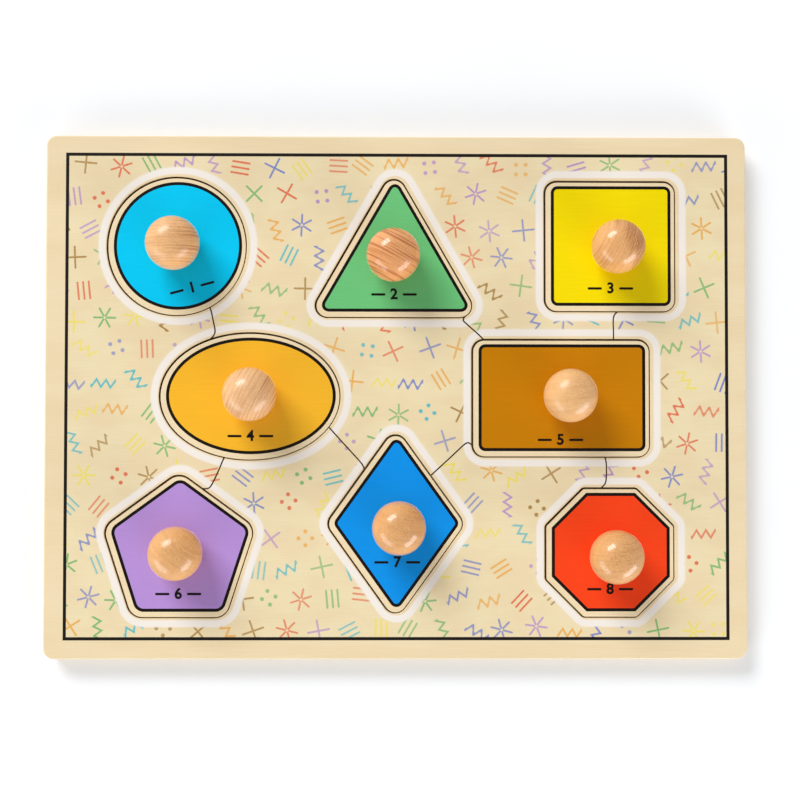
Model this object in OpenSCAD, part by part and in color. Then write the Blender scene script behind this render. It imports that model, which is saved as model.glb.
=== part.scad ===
// Peg puzzle: a plywood tray with eight shapes that lift out by large turned knobs.
// The shapes are sawn from the tray's own top sheet, so they lie flush in it, one saw cut away.
// Origin at the middle of the underside, +X to the right, +Y to the back, +Z up.

/* [Board] */
// Width of the board, left to right
board_w = 400; // [385:1:460]
// Depth of the board, front to back
board_d = 298; // [290:1:360]
// Radius of the board's corners in plan
board_corner_r = 6; // [3:0.5:12]
// Sanded chamfer round the board's outer edges
board_ease = 1; // [0.3:0.1:1.5]
// Thickness of the backing sheet
backing_t = 3; // [2:0.5:6]
// Thickness of the top sheet that the shapes are sawn from
panel_t = 7.5; // [5:0.5:12]

/* [Sawing] */
// Width of the saw cut round the shapes and between them
saw_kerf = 0.8; // [0.5:0.1:1.2]
// Corner radius of the sawn shapes
shape_corner_r = 6.5; // [3:0.5:9]
// Corner radius of the pentagon
pentagon_corner_r = 8.6; // [3:0.2:10]
// Corner radius of the octagon
octagon_corner_r = 2.6; // [1.6:0.2:5]
// Sanded chamfer on the edges of the shapes
shape_ease = 0.4; // [0.1:0.1:1]

/* [Shapes] */
// Diameter of the circle
circle_d = 78.3; // [60:0.1:82]
// Width of the triangle over its rounded corners
triangle_w = 88.5; // [70:0.1:92]
// Width of the square
square_w = 73.9; // [60:0.1:78]
// Width of the oval
oval_w = 101.8; // [80:0.1:106]
// Depth of the oval
oval_d = 71.6; // [60:0.1:74]
// Width of the rectangle
rectangle_w = 100.5; // [80:0.1:104]
// Depth of the rectangle
rectangle_d = 66.2; // [50:0.1:68]
// Width of the pentagon over its rounded corners
pentagon_w = 82.9; // [60:0.1:86]
// Width of the diamond over its rounded corners
diamond_w = 75.5; // [60:0.1:78]
// Depth of the diamond over its rounded corners
diamond_d = 100.1; // [80:0.1:103]
// Width of the octagon across its flats
octagon_w = 72.5; // [60:0.1:76]

/* [Knobs] */
// Diameter of the knob's ball
knob_d = 30; // [24:0.5:38]
// Diameter of the knob's foot, where it stands on the shape
knob_foot_d = 20; // [14:0.5:22]
// Thickness of the straight rim of the foot
knob_rim_t = 0.6; // [0.3:0.1:2]
// Radius of the hollow that runs from the foot into the ball
knob_neck_r = 2.9; // [1:0.1:6]

/* [Screws] */
// Length of the screw, head to point
screw_l = 22; // [16:0.5:28]
// Diameter of the screw's countersunk head
screw_head_d = 8; // [6:0.1:9]
// Thickness of the straight rim of the head
screw_head_rim_t = 0.4; // [0.2:0.1:1]
// Diameter of the screw's shank
screw_shank_d = 4; // [3:0.1:5]
// Length of the screw's point
screw_point_l = 3; // [1:0.5:5]
// Depth of the head below the shape's underside
screw_sink = 0.3; // [0.1:0.1:1]
// Clearance all round the screw in its hole
screw_fit = 0.05; // [0.02:0.01:0.1]
// Depth of the cross recess in the head
cross_depth = 1.7; // [0.8:0.1:2]
// Length of each arm of the cross recess
cross_l = 4.4; // [3:0.1:5]
// Width of each arm of the cross recess
cross_w = 1; // [0.5:0.1:1.4]

/* [Hidden] */
$fn = 64;

// The eight shapes in reading order
shapes = ["circle", "triangle", "square", "oval", "rectangle", "pentagon", "diamond", "octagon"];

// Overrun of every cut past the face that it opens
overrun = 1;
// Steps in each rounded corner's full turn
corner_steps = 40;
// Rounds of corner cutting that smooth a saw line
saw_smoothing = 2;

// The shapes stand in rows from left to right, and in columns from top to bottom. A row shares
// out what it leaves free of the board's width, and a column what it leaves of the depth: one
// share comes before each shape, and the rest after the last.
rows = [["circle", "triangle", "square"], ["oval", "rectangle"], ["pentagon", "diamond", "octagon"]];
row_gap_shares = [[0.224, 0.253, 0.266], [0.333, 0.385], [0.209, 0.258, 0.284]];
columns = [["circle", "oval", "pentagon"], ["triangle", "diamond"], ["square", "rectangle", "octagon"]];
column_gap_shares = [[0.358, 0.155, 0.14], [0.212, 0.567], [0.307, 0.197, 0.216]];

// Centres of the knobs, as shares of each shape's half sizes from its own centre, in the order
// of the list of shapes. The circle's knob is central, because the disc turns round it.
knob_shares = [
  [0, 0], [-0.01, -0.14], [0.055, -0.05], [0.025, 0.03],
  [0.065, 0.045], [0.01, -0.056], [0.05, -0.02], [0.035, -0.02]
];

// The saw lines that join the openings. Both ends lie just inside an opening, at a place given
// as shares of that shape's half sizes from its centre. The bends between them are shares of
// the way from start to end: how far along it, and how far to its left.
saw_line_shares = [
  ["circle", [0.47, -0.866], "oval", [-0.497, 0.848],
   [[0.13, 0.07], [0.38, 0.14], [0.66, 0.23], [0.79, 0.19]]],
  ["oval", [-0.275, -0.943], "pentagon", [0.26, 0.835],
   [[0.11, 0.02], [0.26, 0.07], [0.72, 0.2], [0.87, 0.2]]],
  ["oval", [0.87, -0.464], "diamond", [-0.458, 0.581],
   [[0.36, 0.02], [0.77, 0.05], [0.89, 0.05]]],
  ["diamond", [0.506, 0.535], "rectangle", [-0.983, -0.872],
   [[0.66, 0.13], [0.93, 0.19], [0.99, 0.14]]],
  ["triangle", [0.924, -0.972], "rectangle", [-0.874, 0.977],
   [[0.07, -0.16], [0.21, -0.13], [0.88, 0.03]]],
  ["square", [0.141, -0.988], "rectangle", [0.597, 0.977],
   [[0.17, -0.15], [0.45, -0.11], [0.6, -0.07]]],
  ["rectangle", [0.49, -0.978], "octagon", [-0.193, 0.982],
   [[0.19, 0.1], [0.71, 0.2], [0.86, 0.14]]]
];
// Where corner cutting meets each stretch of a path
corner_cut_shares = [0.25, 0.75];

// Heights from the underside up
shape_z = backing_t;
face_z = backing_t + panel_t;
head_cone_l = (screw_head_d - screw_shank_d) / 2;
screw_z = shape_z + screw_sink;
pilot_l = screw_sink + screw_l + overrun - panel_t;

// The knob's ball rests on a hollow neck that touches both the ball and the rim's edge
knob_r = knob_d / 2;
foot_r = knob_foot_d / 2;
neck_x = foot_r + knob_neck_r;
ball_z = knob_rim_t + sqrt(pow(knob_r + knob_neck_r, 2) - pow(neck_x, 2));
ball_share = knob_r / (knob_r + knob_neck_r);
neck_top = [neck_x * ball_share, ball_z + (knob_rim_t - ball_z) * ball_share];

function corner_r(shape) =
  shape == "pentagon" ? pentagon_corner_r : shape == "octagon" ? octagon_corner_r : shape_corner_r;

// Width and depth of a shape over its rounded corners
function size(shape) =
  let (r = corner_r(shape))
  shape == "circle" ? [circle_d, circle_d] :
  shape == "triangle" ? [triangle_w, (triangle_w - 2 * r) * sin(60) + 2 * r] :
  shape == "square" ? [square_w, square_w] :
  shape == "oval" ? [oval_w, oval_d] :
  shape == "rectangle" ? [rectangle_w, rectangle_d] :
  shape == "pentagon" ? [pentagon_w, (pentagon_w / 2 - r) / cos(18) * (1 + cos(36)) + 2 * r] :
  shape == "diamond" ? [diamond_w, diamond_d] :
  [octagon_w, octagon_w];

// Sum of the first numbers in a list
function sum(list, count) = count == 0 ? 0 : list[count - 1] + sum(list, count - 1);

// Centre of a shape along one side of the board, in the line of shapes that holds it. Axis 0
// is the width and axis 1 the depth.
function along(shape, lines, gap_shares, axis, side) =
  [for (line = [0 : len(lines) - 1], i = [0 : len(lines[line]) - 1])
    if (lines[line][i] == shape)
      let (
        lengths = [for (s = lines[line]) size(s)[axis]],
        free = side - sum(lengths, len(lengths))
      )
      sum(lengths, i) + lengths[i] / 2 + free * sum(gap_shares[line], i + 1)
  ][0];

// Centre of a shape on the board
function place(shape) = [
  along(shape, rows, row_gap_shares, 0, board_w) - board_w / 2,
  board_d / 2 - along(shape, columns, column_gap_shares, 1, board_d)
];

function on_shape(shape, share) =
  [for (axis = [0, 1]) place(shape)[axis] + share[axis] * size(shape)[axis] / 2];

function knob_place(shape) = on_shape(shape, knob_shares[search([shape], shapes)[0]]);

// Corners of a regular figure that stands on a flat side
function regular(sides, radius) =
  [for (i = [0 : sides - 1]) radius * [sin((i + 0.5) * 360 / sides), -cos((i + 0.5) * 360 / sides)]];

// Corners of a box that is centred on the origin
function box_corners(w, d) =
  [[-w / 2, -d / 2], [w / 2, -d / 2], [w / 2, d / 2], [-w / 2, d / 2]];

// Centres of a straight-sided shape's rounded corners, from the middle of its width and depth
function corner_centres(shape) =
  let (core = [for (side = size(shape)) side / 2 - corner_r(shape)])
  shape == "triangle" ? [[-core.x, -core.y], [core.x, -core.y], [0, core.y]] :
  shape == "pentagon" ?
    let (radius = core.x / cos(18)) [for (p = regular(5, radius)) p + [0, core.y - radius]] :
  shape == "diamond" ? [[0, -core.y], [core.x, 0], [0, core.y], [-core.x, 0]] :
  shape == "octagon" ? regular(8, core.x / cos(22.5)) :
  box_corners(2 * core.x, 2 * core.y);

// One round of corner cutting turns each bend of a path into two gentler ones
function cut_corners(path) = concat(
  [path[0]],
  [for (i = [0 : len(path) - 2], t = corner_cut_shares) path[i] * (1 - t) + path[i + 1] * t],
  [path[len(path) - 1]]
);

function smoothed(path, rounds) = rounds == 0 ? path : smoothed(cut_corners(path), rounds - 1);

// The direction to the left of a path at one of its points
function left_of(path, i) =
  let (
    last = len(path) - 1,
    way = path[min(i + 1, last)] - path[max(i - 1, 0)]
  )
  [-way.y, way.x] / norm(way);

function beside(path, shift) = [for (i = [0 : len(path) - 1]) path[i] + shift * left_of(path, i)];

function reversed(path) = [for (i = [len(path) - 1 : -1 : 0]) path[i]];

// The smoothed way of one saw line
function saw_path(line) =
  let (
    start = on_shape(line[0], line[1]),
    end = on_shape(line[2], line[3]),
    way = end - start,
    bends = [for (bend = line[4]) start + bend.x * way + bend.y * [-way.y, way.x]]
  )
  smoothed(concat([start], bends, [end]), saw_smoothing);

// Outline of a shape, grown all round by the given amount
module outline(shape, grow) {
  if (shape == "circle")
    circle(d = circle_d + 2 * grow);
  else if (shape == "oval")
    scale([oval_w + 2 * grow, oval_d + 2 * grow]) circle(d = 1);
  else
    offset(r = corner_r(shape) + grow, $fn = corner_steps) polygon(corner_centres(shape));
}

// A round disc with sanded edges
module eased_disc(d, t, ease) {
  rotate_extrude()
    polygon([
      [0, 0], [d / 2 - ease, 0], [d / 2, ease], [d / 2, t - ease], [d / 2 - ease, t], [0, t]
    ]);
}

// The blank of one shape, standing on the origin
module shape_blank(shape) {
  if (shape == "circle")
    eased_disc(circle_d, panel_t, shape_ease);
  else
    hull() {
      translate([0, 0, shape_ease])
        linear_extrude(panel_t - 2 * shape_ease) outline(shape, 0);
      linear_extrude(panel_t) outline(shape, -shape_ease);
    }
}

// The room that the screw takes, point up, with the given clearance all round
module screw_room(clear) {
  head_r = screw_head_d / 2 + clear;
  shank_r = screw_shank_d / 2 + clear;
  translate([0, 0, -screw_sink - overrun])
    cylinder(r = head_r, h = screw_sink + overrun + screw_head_rim_t);
  translate([0, 0, screw_head_rim_t]) cylinder(r1 = head_r, r2 = shank_r, h = head_cone_l);
  cylinder(r = shank_r, h = panel_t + overrun);
}

module plate(shape) {
  translate([place(shape).x, place(shape).y, shape_z]) shape_blank(shape);
}

// A shape's blank with the countersunk hole for its knob's screw
module drilled_plate(shape) {
  difference() {
    plate(shape);
    translate([knob_place(shape).x, knob_place(shape).y, screw_z]) screw_room(screw_fit);
  }
}

// Half the section of a knob: the ball, the hollow neck and the foot
module knob_section() {
  intersection() {
    translate([0, ball_z]) circle(r = knob_r);
    translate([0, neck_top.y]) square([knob_d, ball_z + knob_d]);
  }
  difference() {
    square(neck_top);
    translate([neck_x, knob_rim_t]) circle(r = knob_neck_r);
    translate([foot_r, 0]) square([neck_x, knob_rim_t]);
  }
}

module knob(shape) {
  translate([knob_place(shape).x, knob_place(shape).y, face_z])
    difference() {
      rotate_extrude() knob_section();
      translate([0, 0, -overrun])
        cylinder(r = screw_shank_d / 2 + screw_fit, h = pilot_l + overrun);
    }
}

// A countersunk screw, point up, with a cross recess in its head
module screw(shape) {
  head_r = screw_head_d / 2;
  shank_r = screw_shank_d / 2;
  shoulder_z = screw_head_rim_t + head_cone_l;
  translate([knob_place(shape).x, knob_place(shape).y, screw_z])
    difference() {
      rotate_extrude()
        polygon([
          [0, 0], [head_r, 0], [head_r, screw_head_rim_t], [shank_r, shoulder_z],
          [shank_r, screw_l - screw_point_l], [0, screw_l]
        ]);
      for (turn = [0, 90])
        rotate(turn)
          translate([-cross_l / 2, -cross_w / 2, -overrun])
            cube([cross_l, cross_w, cross_depth + overrun]);
    }
}

// A sheet with rounded corners and sanded outer edges, chamfered at one face only
module sheet(t, top_ease, bottom_ease) {
  hull()
    for (corner = box_corners(board_w - 2 * board_corner_r, board_d - 2 * board_corner_r))
      translate([corner.x, corner.y, 0]) {
        translate([0, 0, bottom_ease])
          cylinder(r = board_corner_r, h = t - top_ease - bottom_ease, $fn = corner_steps);
        cylinder(r = board_corner_r - board_ease, h = t, $fn = corner_steps);
      }
}

// A thin cut of the saw's width along a path
module saw_cut(path) {
  polygon(concat(beside(path, saw_kerf / 2), reversed(beside(path, -saw_kerf / 2))));
}

// All that the saw takes out of the top sheet: the openings and the lines that join them
module sawn_away() {
  for (shape = shapes)
    translate(place(shape)) outline(shape, saw_kerf);
  for (line = saw_line_shares)
    saw_cut(saw_path(line));
}

module backing_board() {
  color("burlywood") sheet(backing_t, 0, board_ease);
}

module tray_panel() {
  color("wheat")
    translate([0, 0, backing_t])
      difference() {
        sheet(panel_t, board_ease, 0);
        translate([0, 0, -overrun])
          linear_extrude(panel_t + 2 * overrun) sawn_away();
      }
}

module circle_plate() { color([0.02, 0.75, 0.94]) drilled_plate("circle"); }
module triangle_plate() { color([0.45, 0.77, 0.5]) drilled_plate("triangle"); }
module square_plate() { color([0.92, 0.82, 0.05]) drilled_plate("square"); }
module oval_plate() { color([0.97, 0.7, 0.2]) drilled_plate("oval"); }
module rectangle_plate() { color([0.77, 0.5, 0.04]) drilled_plate("rectangle"); }
module pentagon_plate() { color([0.69, 0.54, 0.8]) drilled_plate("pentagon"); }
module diamond_plate() { color([0.11, 0.55, 0.89]) drilled_plate("diamond"); }
module octagon_plate() { color([0.95, 0.3, 0.15]) drilled_plate("octagon"); }

module circle_knob() { color("tan") knob("circle"); }
module triangle_knob() { color("tan") knob("triangle"); }
module square_knob() { color("tan") knob("square"); }
module oval_knob() { color("tan") knob("oval"); }
module rectangle_knob() { color("tan") knob("rectangle"); }
module pentagon_knob() { color("tan") knob("pentagon"); }
module diamond_knob() { color("tan") knob("diamond"); }
module octagon_knob() { color("tan") knob("octagon"); }

module circle_screw() { color("silver") screw("circle"); }
module triangle_screw() { color("silver") screw("triangle"); }
module square_screw() { color("silver") screw("square"); }
module oval_screw() { color("silver") screw("oval"); }
module rectangle_screw() { color("silver") screw("rectangle"); }
module pentagon_screw() { color("silver") screw("pentagon"); }
module diamond_screw() { color("silver") screw("diamond"); }
module octagon_screw() { color("silver") screw("octagon"); }

backing_board();
tray_panel();
circle_plate();
triangle_plate();
square_plate();
oval_plate();
rectangle_plate();
pentagon_plate();
diamond_plate();
octagon_plate();
circle_knob();
triangle_knob();
square_knob();
oval_knob();
rectangle_knob();
pentagon_knob();
diamond_knob();
octagon_knob();
circle_screw();
triangle_screw();
square_screw();
oval_screw();
rectangle_screw();
pentagon_screw();
diamond_screw();
octagon_screw();
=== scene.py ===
# %% [markdown]
# This is a shape puzzle for small children. A printed plywood tray holds eight shapes that were
# sawn from its own top sheet, and each shape lifts out by a large turned knob. The model of its
# construction is the frame, loaded first. It says where each piece lies and how big it is.
# Everything made below takes its size and place from it, so nothing has to be fitted afterwards.

# %% Load the frame
import math

import bmesh
import bpy
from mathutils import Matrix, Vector


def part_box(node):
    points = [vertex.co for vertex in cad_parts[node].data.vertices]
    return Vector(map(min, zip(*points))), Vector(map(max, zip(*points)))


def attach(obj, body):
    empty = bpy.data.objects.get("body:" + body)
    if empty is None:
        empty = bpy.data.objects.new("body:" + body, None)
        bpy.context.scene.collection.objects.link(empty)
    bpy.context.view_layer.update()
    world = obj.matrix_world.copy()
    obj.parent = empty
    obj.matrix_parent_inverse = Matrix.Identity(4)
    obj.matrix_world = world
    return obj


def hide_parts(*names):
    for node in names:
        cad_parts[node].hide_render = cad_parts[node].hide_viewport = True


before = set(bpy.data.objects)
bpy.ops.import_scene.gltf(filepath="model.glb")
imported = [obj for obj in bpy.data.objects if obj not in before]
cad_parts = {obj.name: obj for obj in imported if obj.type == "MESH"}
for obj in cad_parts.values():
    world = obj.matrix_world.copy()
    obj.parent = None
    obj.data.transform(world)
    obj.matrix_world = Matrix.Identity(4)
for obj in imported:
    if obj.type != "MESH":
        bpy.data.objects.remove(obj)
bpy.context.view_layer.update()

# %% [markdown]
# The camera looks straight down at the board from 0.6 metres, a little below its middle. It was
# fitted to the board's four corners and the knobs. From so near, the knobs at the edges lean
# outwards, and the saw cuts show more of one wall than of the other.

# %% Camera
MM = 0.001
CAMERA_PLACE = (-2.9 * MM, -14 * MM, 610.5 * MM)
CAMERA_TURN = [math.radians(turn) for turn in (1.149, -0.476, 0.066)]
CAMERA_LENS = 47.4
SENSOR_W = 36

bpy.ops.object.select_all(action="DESELECT")
bpy.ops.object.camera_add(location=CAMERA_PLACE, rotation=CAMERA_TURN)
camera = bpy.context.object
camera.name = "camera"
camera.data.lens = CAMERA_LENS
camera.data.sensor_width = SENSOR_W
bpy.context.scene.camera = camera
print("camera with a", CAMERA_LENS, "mm lens,", round(camera.location.z / MM), "mm up")

# %% [markdown]
# The puzzle is made of two sheets. The thin one is the backing, and the thick one is sawn through
# to make both the tray and the shapes. The heights of the two sheets come from the frame, and so
# do the middle and the size of each shape. Typed in again, they could come to differ from it.

# %% Sheets and shapes
SHAPES = ("circle", "triangle", "square", "oval", "rectangle", "pentagon", "diamond", "octagon")
board_low, board_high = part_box("backing_board")
SHEET_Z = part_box("tray_panel")[0].z
FACE_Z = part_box("tray_panel")[1].z
PANEL_T = FACE_Z - SHEET_Z


def centre_and_half(shape):
    """The middle of a plate's width and depth, and half of both."""
    low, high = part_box(shape + "_plate")
    return (low + high) / 2, (high - low) / 2


print("sheets meet at", round(SHEET_Z / MM, 2), "mm and the face is at", round(FACE_Z / MM, 2), "mm")

# %% [markdown]
# Every piece is made by hand moves, so a few helpers keep the moves short. An operator acts on
# all that is selected. So one helper clears the selection, one chooses a single piece, and one
# selects corners, edges or faces by a test, as a hand would by clicking on them.

# %% Selecting
def fresh():
    """Leaves edit mode and deselects everything."""
    if bpy.context.mode != "OBJECT":
        bpy.ops.object.mode_set(mode="OBJECT")
    bpy.ops.object.select_all(action="DESELECT")


def only(piece):
    """Makes a piece the one selected and active object."""
    fresh()
    piece.select_set(True)
    bpy.context.view_layer.objects.active = piece


def pick(kind, test):
    """In edit mode, selects only the VERT, EDGE or FACE elements that pass the test."""
    bpy.ops.mesh.select_mode(type=kind)
    bpy.ops.mesh.select_all(action="DESELECT")
    mesh = bmesh.from_edit_mesh(bpy.context.object.data)
    for element in {"VERT": mesh.verts, "EDGE": mesh.edges, "FACE": mesh.faces}[kind]:
        if test(element):
            element.select_set(True)
    bmesh.update_edit_mesh(bpy.context.object.data)


fresh()
print("selected objects:", len(bpy.context.selected_objects))

# %% [markdown]
# The tests ask which way a face looks, or how an edge runs. A rim is an edge between a level face
# and an upright one, such as the sander rounds on a wooden toy.

# %% Tests for faces and edges
LEVEL = 0.999


def faces_up(face):
    return face.normal.z > LEVEL


def faces_down(face):
    return face.normal.z < -LEVEL


def faces_sideways(face):
    return abs(face.normal.z) < 0.5


def height_of(edge):
    """How much higher one end of an edge lies than the other."""
    return abs(edge.verts[0].co.z - edge.verts[1].co.z)


def is_rim(edge):
    """An edge where a level face meets an upright one."""
    levels = [abs(face.normal.z) for face in edge.link_faces]
    return max(levels) > 0.9 and min(levels) < 0.1


print("a face counts as level within", round(math.degrees(math.acos(LEVEL)), 1), "degrees")

# %% [markdown]
# Three moves shape the wood. A flat face is pulled into a block, and its normals are then made to
# point outwards. A modifier is added, set and applied in one go. And the room of one block is cut
# out of another, which is how the saw's openings and the screw holes are made: their walls could
# be drawn face by face, but a cutter follows any outline without a gap.

# %% Shaping
def extrude(height):
    """In edit mode, extrudes the selection straight up, or down for a negative height."""
    bpy.ops.mesh.extrude_region_move(TRANSFORM_OT_translate={"value": (0, 0, height)})


def turn_faces_out():
    """In edit mode, makes all faces point outwards."""
    bpy.ops.mesh.select_all(action="SELECT")
    bpy.ops.mesh.normals_make_consistent(inside=False)


def pull(height):
    """In edit mode, pulls the whole flat face up or down into a closed block."""
    bpy.ops.mesh.select_all(action="SELECT")
    extrude(height)
    turn_faces_out()


def apply_modifier(piece, kind, **settings):
    """Adds a modifier to the active piece, sets its options and applies it."""
    bpy.ops.object.modifier_add(type=kind)
    modifier = piece.modifiers[-1]
    for option, value in settings.items():
        setattr(modifier, option, value)
    bpy.ops.object.modifier_apply(modifier=modifier.name)


def cut_away(piece, cutter):
    """Cuts a cutter's room out of a piece, and deletes the cutter."""
    only(piece)
    apply_modifier(piece, "BOOLEAN", operation="DIFFERENCE", solver="EXACT", object=cutter)
    bpy.data.objects.remove(cutter)


print("moves for pulling and cutting")

# %% [markdown]
# A piece is finished by putting its place into its mesh and shading it. Gentle bends are shaded
# smooth, and sharp edges stay sharp. Then it rides on its body of the frame, so that it moves when
# that body does, and the pieces of the construction that it stands for are hidden.

# %% Finishing a piece
SMOOTH_ANGLE = math.radians(32)


def give(material):
    """In edit mode, gives the selected faces a material of the piece."""
    piece = bpy.context.object
    names = [slot.name for slot in piece.material_slots]
    if material.name not in names:
        piece.data.materials.append(material)
        names.append(material.name)
    piece.active_material_index = names.index(material.name)
    bpy.ops.object.material_slot_assign()


def finish_piece(piece, name, body, slot, *nodes):
    """Shades a piece, puts its place into its mesh and lets it ride on its body."""
    only(piece)
    bpy.ops.object.transform_apply(location=True, rotation=True, scale=True)
    bpy.ops.object.shade_smooth_by_angle(angle=SMOOTH_ANGLE)
    apply_modifier(piece, "WEIGHTED_NORMAL", keep_sharp=True)
    piece.name = piece.data.name = name
    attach(piece, body)
    if nodes:
        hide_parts(*nodes)
    print(name, len(piece.data.polygons), "faces")


print("edges under", round(math.degrees(SMOOTH_ANGLE)), "degrees are shaded smooth")

# %% [markdown]
# The finishes are worked out at each point of a surface, as a small sum. A field is one such
# number. Fields can be added, multiplied and compared in plain Python, and each step becomes a
# node of the material. Nodes could be laid and linked by hand, but sums are easier to read.

# %% Fields
class Field:
    """A number at each point of a surface, held as a socket of a material's node tree."""

    def __init__(self, tree, socket):
        self.tree = tree
        self.socket = socket

    def node(self, kind, values, **settings):
        """Adds a node, sets its options and feeds its inputs in turn."""
        new = self.tree.nodes.new("ShaderNode" + kind)
        for option, value in settings.items():
            setattr(new, option, value)
        for entry, value in zip(new.inputs, values):
            if isinstance(value, Field):
                self.tree.links.new(value.socket, entry)
            else:
                entry.default_value = value
        return new

    def maths(self, operation, *others):
        return Field(self.tree, self.node("Math", (self, *others), operation=operation).outputs[0])

    def __add__(self, other):
        return self.maths("ADD", other)

    def __sub__(self, other):
        return self.maths("SUBTRACT", other)

    def __mul__(self, other):
        return self.maths("MULTIPLY", other)

    def __truediv__(self, other):
        return self.maths("DIVIDE", other)

    def away(self):
        """The distance from zero."""
        return self.maths("ABSOLUTE")

    def floor(self):
        return self.maths("FLOOR")

    def least(self, other):
        return self.maths("MINIMUM", other)

    def most(self, other):
        return self.maths("MAXIMUM", other)

    def below(self, limit, soft):
        """One where the field is under the limit and zero over it, with a soft step between."""
        values = (self, limit - soft / 2, limit + soft / 2, 1, 0)
        new = self.node("MapRange", values, interpolation_type="SMOOTHSTEP")
        return Field(self.tree, new.outputs[0])

    def above(self, limit, soft):
        """One where the field is over the limit and zero under it."""
        return self.below(limit, -soft)


print("a field has", ", ".join(name for name in vars(Field) if name.isalpha()))

# %% [markdown]
# A pattern starts from the place of a point, which is read in millimetres, so that every length
# in a finish is a real one. Smooth noise then makes streaks and clouds. Dividing the place by a
# length first sets how long they are that way. A plain number in the third place picks another
# stretch of the same noise.

# %% Places and noise
def place_on(tree):
    """The place of each point, as three fields in millimetres."""
    coordinates = tree.nodes.new("ShaderNodeTexCoord")
    parts = tree.nodes.new("ShaderNodeSeparateXYZ")
    tree.links.new(coordinates.outputs["Object"], parts.inputs[0])
    return [Field(tree, socket) / MM for socket in parts.outputs]


def point(a, b, c):
    """Three fields as one point, for the textures."""
    return Field(a.tree, a.node("CombineXYZ", (a, b, c)).outputs[0])


def noise(a, b, c=0, detail=2):
    """Smooth noise between zero and one, with about one bump for each unit."""
    new = a.node("TexNoise", (point(a, b, c),))
    new.inputs["Scale"].default_value = 1
    new.inputs["Detail"].default_value = detail
    return Field(a.tree, new.outputs[0])


print("patterns are measured in units of", MM, "metres")

# %% [markdown]
# A colour is written as it looks on a screen, from 0 to 255, and turned into the linear light
# that a shader works with. Paint goes over a ground wherever a field says how much of it there
# is. Ink over wood, or a glue line in a sawn edge, is made so.

# %% Colours
def rgb(*levels):
    """A screen colour as linear light, by the curve that screens share."""
    shares = [level / 255 for level in levels]
    return [((s + 0.055) / 1.055) ** 2.4 if s > 0.04 else s / 12.92 for s in shares] + [1]


def toned(colour, share, lift=0):
    """A colour made darker or paler as a whole."""
    return [level * share + lift for level in colour[:3]] + [1]


def paint(ground, colour, amount):
    """Lays a colour over a ground, as much as the amount says."""
    mix = amount.tree.nodes.new("ShaderNodeMix")
    mix.data_type = "RGBA"
    amount.tree.links.new(amount.socket, mix.inputs["Factor"])
    for entry, value in ((mix.inputs["A"], ground), (mix.inputs["B"], colour)):
        if isinstance(value, bpy.types.NodeSocket):
            amount.tree.links.new(value, entry)
        else:
            entry.default_value = value
    return mix.outputs["Result"]


print("a screen's middle grey is", round(rgb(128)[0], 2), "of white as light")

# %% [markdown]
# Every finish ends in one shader, with its colour, its gloss and a fine relief. A number that is
# the same all over is set on the shader's own socket. Only what varies is linked to a field.

# %% Shaders
def new_finish(name):
    """An empty material, with the fields of its place and its shader."""
    finish = bpy.data.materials.new(name)
    finish.use_nodes = True
    shader = finish.node_tree.nodes["Principled BSDF"]
    return finish, place_on(finish.node_tree), shader


def finish_with(finish, shader, colour, roughness, relief, depth, gloss=0.5):
    """Links a finish's colour and relief, and its roughness where that varies."""
    tree = finish.node_tree
    shader.inputs["Specular IOR Level"].default_value = gloss
    tree.links.new(colour, shader.inputs["Base Color"])
    if isinstance(roughness, Field):
        tree.links.new(roughness.socket, shader.inputs["Roughness"])
    else:
        shader.inputs["Roughness"].default_value = roughness
    bump = tree.nodes.new("ShaderNodeBump")
    bump.inputs["Distance"].default_value = depth * MM
    tree.links.new(relief.socket, bump.inputs["Height"])
    tree.links.new(bump.outputs[0], shader.inputs["Normal"])
    print(finish.name, len(tree.nodes), "nodes")
    return finish


print("shaders are named, coloured and given relief by two helpers")

# %% [markdown]
# Bare birch ply is the ground under everything. Its fibres run along the board, so the noise is
# drawn out lengthways: fine streaks of half a millimetre, and broad soft bands where the sheet
# was peeled from the log.

# %% Bare ply
PLY_PALE = rgb(246, 228, 190)
PLY_DARK = rgb(228, 199, 152)
FIBRE_L = 24
FIBRE_W = 0.5
BAND_L = 140
BAND_W = 16


def fibres(x, y, z):
    """Fine streaks along the board."""
    return noise(x / FIBRE_L, y / FIBRE_W, z / FIBRE_W, detail=4)


def bare_wood(x, y, z):
    """The colour of bare ply: bands of the peeled sheet, with streaks over them."""
    bands = noise(x / BAND_L, y / BAND_W, 3, detail=3)
    banded = paint(PLY_PALE, PLY_DARK, bands.above(0.5, 0.5) * 0.3)
    return paint(banded, PLY_DARK, fibres(x, y, z).above(0.44, 0.3) * 0.22)


def make_bare_ply():
    finish, (x, y, z), shader = new_finish("bare_ply")
    return finish_with(finish, shader, bare_wood(x, y, z), 0.55, fibres(x, y, z), depth=0.04)


bare_ply = make_bare_ply()

# %% [markdown]
# A sawn edge of ply shows its layers. The grain of each layer crosses that of the next, so pale
# layers cut along the fibre lie between browner ones cut across it, with a thin dark glue line in
# each joint. The layers are counted from the underside of the board. The walls that the thin blade
# cut are browned in patches, partly as scorch from the hot blade and partly as painted shade down in
# the narrow cuts, while the outer edge of the board is sanded clean.

# %% Sawn ply edge
PLY_T = 1.5
PLY_WAVE = 0.16
WAVE_L = 9
PORE_W = 0.22
PORE_H = 0.18
STREAK_L = 7
STREAK_H = 0.12
SCORCH_SHADE_L = 5
SCORCH_SHADE_H = 2.5
LAYER_ALONG = rgb(234, 211, 166)
LAYER_ACROSS = rgb(202, 163, 112)
LAYER_PORE = rgb(150, 108, 66)
GLUE = rgb(120, 84, 50)
SCORCH_AND_SHADE = rgb(110, 66, 34)
SAW_SCORCH_AND_SHADE = 0.6


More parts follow.
